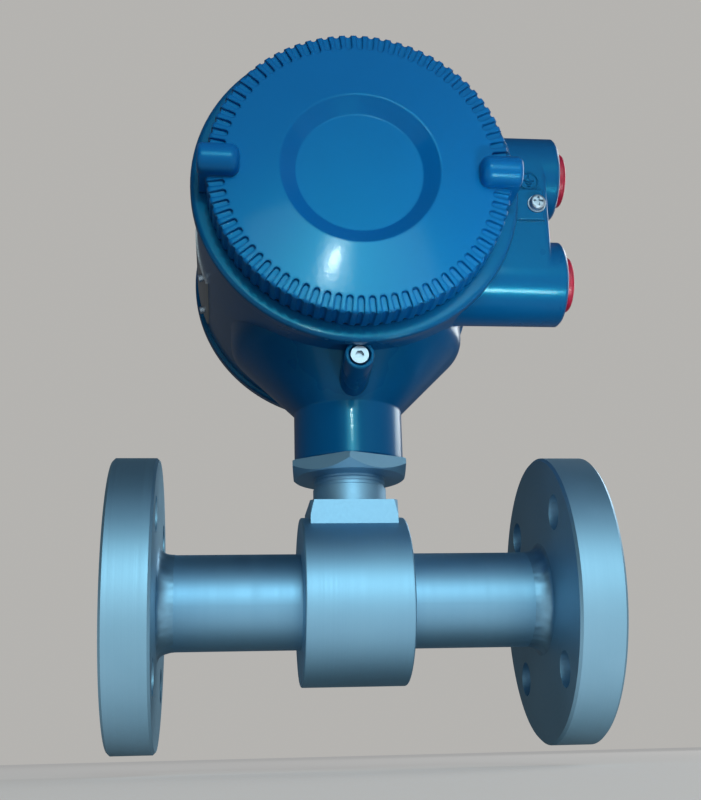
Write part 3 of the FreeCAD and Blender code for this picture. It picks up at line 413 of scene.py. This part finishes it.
def addEarthMark(settings):
    middle = Vector((settings["across"], settings["face"], settings["level"]))
    line = settings["line"]
    bpy.ops.object.select_all(action="DESELECT")
    bpy.ops.mesh.primitive_circle_add(vertices=settings["sides"], radius=settings["radius"],
                                      location=middle, rotation=(math.pi / 2, 0, 0))
    ring = bpy.context.object
    bpy.ops.object.mode_set(mode="EDIT")
    bpy.ops.mesh.select_mode(type="VERT")
    bpy.ops.mesh.select_all(action="SELECT")
    bpy.ops.mesh.extrude_region_move()
    inner = 1 - line / settings["radius"]
    bpy.ops.transform.resize(value=(inner, inner, inner))
    bpy.ops.object.mode_set(mode="OBJECT")
    strokes = []
    for across, up, width, height in settings["strokes"]:
        bpy.ops.mesh.primitive_plane_add(size=1, location=middle + Vector((across, 0, up)),
                                         rotation=(math.pi / 2, 0, 0))
        stroke = bpy.context.object
        bpy.ops.object.mode_set(mode="EDIT")
        bpy.ops.transform.resize(value=(width or line, 1, height or line))
        bpy.ops.object.mode_set(mode="OBJECT")
        strokes.append(stroke)
    for piece in (ring, *strokes):
        piece.select_set(True)
    bpy.context.view_layer.objects.active = ring
    bpy.ops.object.join()
    bpy.ops.object.transform_apply(location=True, rotation=True, scale=True)
    pickFaces(ring, lambda face: True)
    bpy.ops.mesh.normals_make_consistent(inside=False)
    bpy.ops.transform.translate(value=(0, settings["sunk"], 0))
    bpy.ops.mesh.extrude_region_move(
        TRANSFORM_OT_translate={"value": (0, -settings["sunk"] - settings["proud"], 0)})
    bpy.ops.object.mode_set(mode="OBJECT")
    applyModifier(ring, "BEVEL", width=settings["rim"], segments=settings["rimSteps"],
                  limit_method="ANGLE", angle_limit=math.radians(settings["rimAngle"]))
    finishPiece(ring, "earth_mark", "housingPaintShaded", "head")


# fillet welds drawn in a hollow curve from the flange's face down to the pipe
weldBead = {"rise": 0.0036, "reach": 0.0064, "rings": 8, "sides": 192, "lift": 0.00005,
            "under": 0.0003, "ripple": 0.0005, "rippleSize": 0.0035}


def pickRing(piece, place):
    # leaves edit mode on, with the points at one place along the pipe picked
    bpy.ops.object.mode_set(mode="EDIT")
    bpy.ops.mesh.select_mode(type="VERT")
    bpy.ops.mesh.select_all(action="DESELECT")
    bpy.ops.object.mode_set(mode="OBJECT")
    for vertex in piece.data.vertices:
        vertex.select = math.isclose(vertex.co.x, place, abs_tol=nearEnough)
    bpy.ops.object.mode_set(mode="EDIT")


def growRing(place, grow):
    bpy.ops.transform.resize(value=(1, grow, grow), center_override=(place, 0, 0))
    bpy.ops.object.mode_set(mode="OBJECT")


def addWeld(settings, node, side, name):
    rise = settings["rise"]
    reach = settings["reach"]
    toe = side * max(abs(corner.x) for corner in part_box(node))
    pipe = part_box("measuring_tube")[1].z + settings["lift"]
    wide = pipe + rise
    bpy.ops.object.select_all(action="DESELECT")
    bpy.ops.mesh.primitive_cylinder_add(
        vertices=settings["sides"], radius=wide, depth=reach, end_fill_type="NOTHING",
        location=(toe - side * reach / 2, 0, 0), rotation=(0, math.pi / 2, 0))
    bead = bpy.context.object
    bpy.ops.object.transform_apply(location=True, rotation=True, scale=True)
    turns = [math.pi / 2 * ring / settings["rings"] for ring in range(1, settings["rings"] + 1)]
    places = [toe - side * reach * (1 - math.cos(turn)) for turn in turns]
    for place in places[:-1]:
        pickFaces(bead, lambda face: True)
        bpy.ops.mesh.bisect(plane_co=(place, 0, 0), plane_no=(1, 0, 0))
        bpy.ops.object.mode_set(mode="OBJECT")
    for turn, place in zip(turns, places):
        pickRing(bead, place)
        growRing(place, (wide - rise * math.sin(turn)) / wide)
    # both ends turn down into the pipe's wall and are joined there
    for place, radius in ((toe, wide), (places[-1], pipe)):
        pickRing(bead, place)
        bpy.ops.mesh.extrude_region_move()
        growRing(place, (pipe - settings["under"]) / radius)
    bpy.ops.object.mode_set(mode="EDIT")
    bpy.ops.mesh.select_all(action="DESELECT")
    bpy.ops.mesh.select_non_manifold()
    bpy.ops.mesh.bridge_edge_loops()
    bpy.ops.object.mode_set(mode="OBJECT")
    texture = bpy.data.textures.new(name, "CLOUDS")
    texture.noise_scale = settings["rippleSize"]
    applyModifier(bead, "DISPLACE", texture=texture, strength=settings["ripple"],
                  mid_level=0.5, texture_coords="LOCAL")
    finishPiece(bead, name, "weldSteel", "sensor")
    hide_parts(node)


say("casting the lock bosses and the earth mark")
addLockBoss(lockBoss, "front_lock_screw", -1, "front_lock_boss")
addLockBoss(lockBoss, "rear_lock_screw", 1, "rear_lock_boss")
addEarthMark(earthMark)
say("laying the welds")
addWeld(weldBead, "inlet_weld", -1, "inlet_weld_bead")
addWeld(weldBead, "outlet_weld", 1, "outlet_weld_bead")

# angles in degrees, lens and sensor in millimetres
camera = {"azimuth": -6.31, "elevation": -16.64, "roll": -1.47, "distance": 0.50308,
          "aim": (0.00142, 0.0, 0.08458), "lens": 53.56, "sensor": 36.0,
          "nearClip": 0.01, "farClip": 100.0}
# frontGlow and backGlow paint light onto the floor in front of the meter and shade below and
# behind it, seen only in gloss
floorSheet = {"drop": 0.0075, "size": 40.0, "shade": 0.25, "glow": 0.325,
              "glowTint": (1, 0.99, 0.97), "frontGlow": 0.88, "backGlow": 0.02,
              "glowFrom": -0.080, "glowTo": 0.012, "roughness": 0.8,
              "paperScale": 60.0, "paperBump": 0.02, "paperDepth": 0.001}
studio = {"pale": (0.46, 0.452, 0.435), "cool": (0.97, 1.0, 1.03),
          "ceiling": (0.84, 1.0, 1.30), "ceilingFrom": 50,
          "left": 0.10, "leftSpan": (-0.18, -0.50), "right": 0.36, "rightSpan": (0.60, 0.95)}
roundRoom = (    # degrees up from the front, brightness: a bright front and a dim ceiling
    (-180, 0.08), (-60, 0.60), (-5, 0.70), (8, 0.85), (22, 0.80), (30, 0.72), (42, 0.55),
    (55, 0.36), (70, 0.20), (87, 0.09), (105, 0.04), (128, 0.04), (150, 0.08), (180, 0.08))
# metres and watts; bulb and halo make the small bright spot, the kicker lifts the conduit web
softBoxes = {
    "bulb": {"place": (0.062, -1.51, 0.50), "size": (0.03, 0.03), "power": 1.4,
             "tint": (0.80, 1.0, 1.0)},
    "halo": {"place": (0.070, -1.50, 0.50), "size": (0.11, 0.11), "power": 1.2,
             "tint": (0.70, 1.0, 1.0)},
    "front": {"place": (0.10, -1.48, 0.44), "size": (0.60, 0.50), "power": 4.8,
              "tint": (0.72, 1.0, 1.0)},
    "back": {"place": (1.30, 1.00, 0.85), "size": (0.9, 0.8), "power": 10.0},
    "kicker": {"place": (0.115, -0.24, -0.058), "size": (0.08, 0.035), "power": 0.032,
               "aim": (0.066, -0.045, 0.116), "spread": 40, "tint": (0.80, 1.0, 1.0)},
}


def addCamera(settings):
    azimuth = math.radians(settings["azimuth"])
    elevation = math.radians(settings["elevation"])
    roll = math.radians(settings["roll"])
    back = Vector((math.sin(azimuth) * math.cos(elevation),
                   -math.cos(azimuth) * math.cos(elevation), math.sin(elevation)))
    right = (-back).cross(Vector((0, 0, 1))).normalized()
    up = right.cross(-back)
    turnedRight = math.cos(roll) * right + math.sin(roll) * up
    turnedUp = math.cos(roll) * up - math.sin(roll) * right
    data = bpy.data.cameras.new("camera")
    data.lens = settings["lens"]
    data.sensor_width = settings["sensor"]
    data.clip_start = settings["nearClip"]
    data.clip_end = settings["farClip"]
    viewer = bpy.data.objects.new("camera", data)
    bpy.context.scene.collection.objects.link(viewer)
    facing = Matrix((turnedRight, turnedUp, back)).transposed().to_4x4()
    viewer.matrix_world = Matrix.Translation(
        Vector(settings["aim"]) + back * settings["distance"]) @ facing
    bpy.context.scene.camera = viewer


def addSoftBox(name, settings, middle):
    data = bpy.data.lights.new(name, "AREA")
    data.shape = "RECTANGLE"
    data.size, data.size_y = settings["size"]
    data.energy = settings["power"]
    data.color = settings.get("tint", (1, 1, 1))
    data.spread = math.radians(settings.get("spread", 180))
    lamp = bpy.data.objects.new(name, data)
    bpy.context.scene.collection.objects.link(lamp)
    lamp.location = settings["place"]
    aim = Vector(settings.get("aim", middle))
    lamp.rotation_euler = (aim - lamp.location).to_track_quat("-Z", "Y").to_euler()
    lamp.visible_camera = False


def paleWorld(settings, stops):
    # the backdrop is level for the camera; the room it stands in is graded round the pipe's
    # axis, and dims towards both sides
    world = bpy.data.worlds.new("studio")
    world.use_nodes = True
    bpy.context.scene.world = world
    world.node_tree.nodes.clear()
    place = addNode(world, "TexCoord")
    split = addNode(world, "SeparateXYZ")
    link(world, place, "Generated", split, "Vector")
    front = addNode(world, "Math", operation="MULTIPLY")
    front.inputs[1].default_value = -1.0
    link(world, split, "Y", front, 0)
    angle = addNode(world, "Math", operation="ARCTAN2")
    link(world, split, "Z", angle, 0)
    link(world, front, "Value", angle, 1)
    turn = addRange(world, angle, "Value", (0.0, 1.0), (-math.pi, math.pi))
    colour = addNode(world, "ValToRGB")
    link(world, turn, "Result", colour, "Fac")
    for stop in stops[1:-1]:
        colour.color_ramp.elements.new((stop[0] + 180) / 360)
    for element, (degrees, shade) in zip(colour.color_ramp.elements, stops):
        above = settings["ceilingFrom"] < degrees < 180
        tint = settings["ceiling" if above else "cool"]
        element.color = (*[shade * part for part in tint], 1)
    output = "Color"
    for side in ("left", "right"):
        beside = addRange(world, split, "X", (0.0, 1.0), settings[side + "Span"],
                          interpolation_type="SMOOTHSTEP")
        dimmed = addNode(world, "Mix", data_type="RGBA")
        dimmed.inputs["B"].default_value = (*[settings[side]] * 3, 1)
        link(world, beside, "Result", dimmed, "Factor")
        link(world, colour, output, dimmed, "A")
        colour = dimmed
        output = "Result"
    rays = addNode(world, "LightPath")
    through = addNode(world, "Math", operation="MAXIMUM")
    link(world, rays, "Is Camera Ray", through, 0)
    link(world, rays, "Is Transmission Ray", through, 1)
    backdrop = addNode(world, "Mix", data_type="RGBA")
    backdrop.inputs["B"].default_value = (*settings["pale"], 1)
    link(world, through, "Value", backdrop, "Factor")
    link(world, colour, output, backdrop, "A")
    room = addNode(world, "Background")
    link(world, backdrop, "Result", room, "Color")
    link(world, room, "Background", addNode(world, "OutputWorld"), "Surface")


def paperFloor(settings, pale):
    shade = [settings["shade"] * part / pale[0] for part in pale]
    material = newMaterial("floorPaper", shade, 0.0, settings["roughness"])
    shader = shaderOf(material)
    mapping = objectPlace(material)
    paper = noise(material, mapping, settings["paperScale"])
    bumpFrom(material, paper, "Fac", settings["paperBump"], settings["paperDepth"])
    # pale to the camera; gloss sees it glow brighter in front and dimmer below and behind the
    # meter: painted light on the floor in front and a painted shadow under and behind the meter
    shader.inputs["Emission Color"].default_value = (*settings["glowTint"], 1)
    rays = addNode(material, "LightPath")
    seen = addNode(material, "Math", operation="MULTIPLY")
    seen.inputs[1].default_value = settings["glow"]
    link(material, rays, "Is Camera Ray", seen, 0)
    split = addNode(material, "SeparateXYZ")
    link(material, mapping, "Vector", split, "Vector")
    depth = addRange(material, split, "Y", (settings["frontGlow"], settings["backGlow"]),
                     (settings["glowFrom"], settings["glowTo"]),
                     interpolation_type="SMOOTHSTEP")
    gloss = addNode(material, "Math", operation="MULTIPLY")
    link(material, rays, "Is Glossy Ray", gloss, 0)
    link(material, depth, "Result", gloss, 1)
    both = addNode(material, "Math", operation="ADD")
    link(material, seen, "Value", both, 0)
    link(material, gloss, "Value", both, 1)
    link(material, both, "Value", shader, "Emission Strength")
    return material


def addFloor(settings, pale, lowest):
    bpy.ops.object.select_all(action="DESELECT")
    bpy.ops.mesh.primitive_plane_add(size=settings["size"],
                                     location=(0, 0, lowest - settings["drop"]))
    floor = bpy.context.object
    floor.name = "floor"
    floor.data.materials.append(paperFloor(settings, pale))


say("setting up the studio")
addCamera(camera)
for boxName, boxSettings in softBoxes.items():
    addSoftBox(boxName, boxSettings, camera["aim"])
paleWorld(studio, roundRoom)
addFloor(floorSheet, studio["pale"], cadBox[0][2])
bpy.context.scene.view_settings.view_transform = "Standard"
